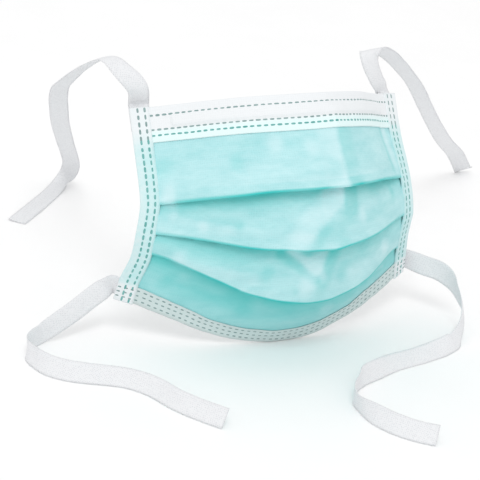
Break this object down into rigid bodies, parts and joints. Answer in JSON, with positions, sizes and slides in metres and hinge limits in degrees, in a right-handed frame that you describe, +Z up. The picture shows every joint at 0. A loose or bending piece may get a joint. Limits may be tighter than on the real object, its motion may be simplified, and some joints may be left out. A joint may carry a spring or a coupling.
{
  "type": "surgical face mask",
  "caption": "Pleated surgical face mask, bowed as when worn, with a wired top hem, side bindings and flat tie tapes that curl to their free ends.",
  "frame": {"origin": "middle of the box around the whole object, on the surface it stands on", "axes": "+Z up, the mask's outer face towards -Y, the side where the face goes towards +Y, +X across the mask towards the right of the picture"},
  "size_m": [0.3492, 0.3288, 0.1328],
  "materials": {
    "panel": "matte spunbond polypropylene nonwoven, mint green",
    "hem": "matte white nonwoven",
    "binding": "matte white nonwoven tape, faintly tinted by the panel under it",
    "wire": "plastic-coated flat wire",
    "tie": "matte white nonwoven tape with fine embossing"
  },
  "bodies": {
    "root": {"pleated_panel": "panel", "top_hem": "hem", "bottom_hem": "hem", "side_binding_left": "binding", "side_binding_right": "binding", "nose_wire": "wire", "tie_upper_left": "tie", "tie_upper_right": "tie", "tie_lower_left": "tie", "tie_lower_right": "tie"}
  },
  "joints": []
}
